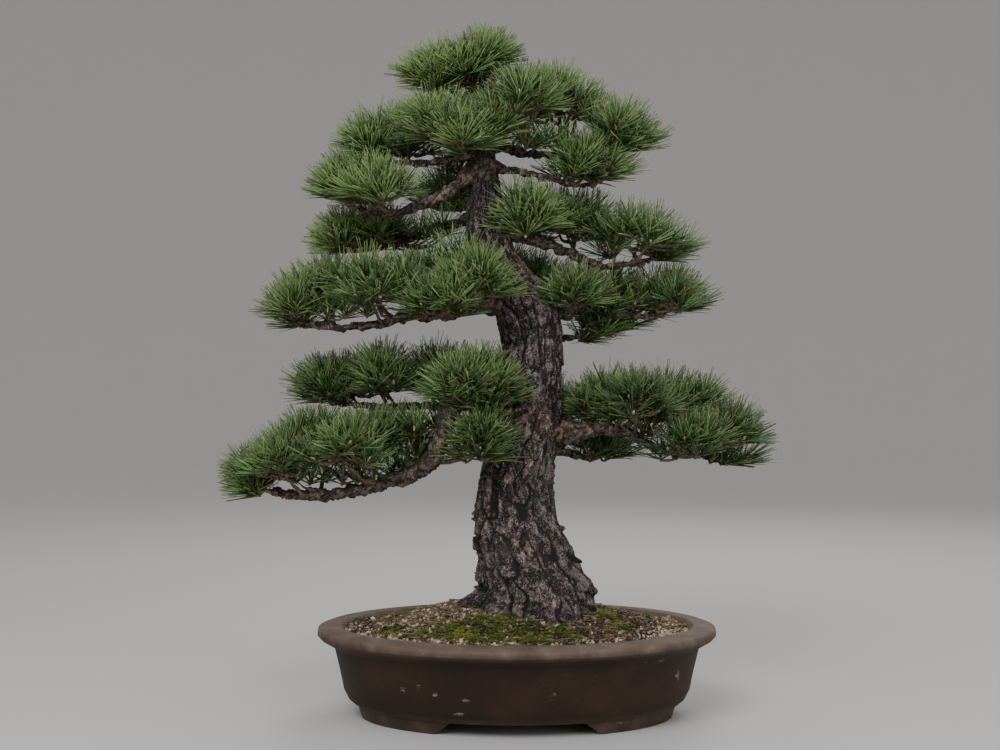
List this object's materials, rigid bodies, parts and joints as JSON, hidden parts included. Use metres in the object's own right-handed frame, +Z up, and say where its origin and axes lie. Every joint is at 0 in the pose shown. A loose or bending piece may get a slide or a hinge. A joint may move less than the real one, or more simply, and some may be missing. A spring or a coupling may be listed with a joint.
{
  "type": "japanese black pine bonsai",
  "caption": "Black pine bonsai with a curved trunk, plated bark and level pads of stiff needles, in heaped gritty soil in an oval clay pot on low feet.",
  "frame": {"origin": "on the surface that the pot's feet stand on, in the middle of the whole tree's and pot's footprint", "axes": "+Z up; -Y towards the viewer of the picture, which is the tree's front; +X to that viewer's right, along the pot's length"},
  "size_m": [0.6544, 0.36, 0.8351],
  "materials": {
    "clay": "matte",
    "soil": "matte",
    "bark": "matte",
    "needles": "satin",
    "screen": "matte"
  },
  "bodies": {
    "root": {"pot": "clay", "soil": "soil", "drain_screen_left": "screen", "drain_screen_right": "screen", "trunk_and_limbs": "bark", "needles_apex_1": "needles", "needles_apex_2": "needles", "needles_apex_3": "needles", "needles_apex_back": "needles", "needles_crown_right_1": "needles", "needles_crown_right_2": "needles", "needles_crown_right_3": "needles", "needles_crown_left_1": "needles", "needles_crown_left_2": "needles", "needles_crown_left_3": "needles", "needles_top_left_1": "needles", "needles_top_left_2": "needles", "needles_crown_low_right_1": "needles", "needles_crown_low_right_2": "needles", "needles_high_left_1": "needles", "needles_high_left_2": "needles", "needles_high_back_left_1": "needles", "needles_high_back_left_2": "needles", "needles_high_right_1": "needles", "needles_high_right_2": "needles", "needles_high_right_3": "needles", "needles_mid_left_1": "needles", "needles_mid_left_2": "needles", "needles_mid_left_3": "needles", "needles_mid_left_4": "needles", "needles_mid_left_5": "needles", "needles_mid_left_6": "needles", "needles_mid_right_1": "needles", "needles_mid_right_2": "needles", "needles_mid_right_3": "needles", "needles_mid_low_right_1": "needles", "needles_low_back_left_1": "needles", "needles_low_back_left_2": "needles", "needles_low_back_left_3": "needles", "needles_low_back_left_4": "needles", "needles_low_back_left_5": "needles", "needles_low_left_1": "needles", "needles_low_left_2": "needles", "needles_low_left_3": "needles", "needles_low_left_4": "needles", "needles_low_left_5": "needles", "needles_low_left_6": "needles", "needles_low_left_7": "needles", "needles_low_left_8": "needles", "needles_low_right_1": "needles", "needles_low_right_2": "needles", "needles_low_right_3": "needles", "needles_low_right_4": "needles", "needles_low_right_5": "needles", "needles_low_back_right_1": "needles", "needles_back_low_1": "needles", "needles_back_low_2": "needles", "needles_back_mid_1": "needles", "needles_back_mid_2": "needles", "needles_back_high_1": "needles"}
  },
  "joints": []
}
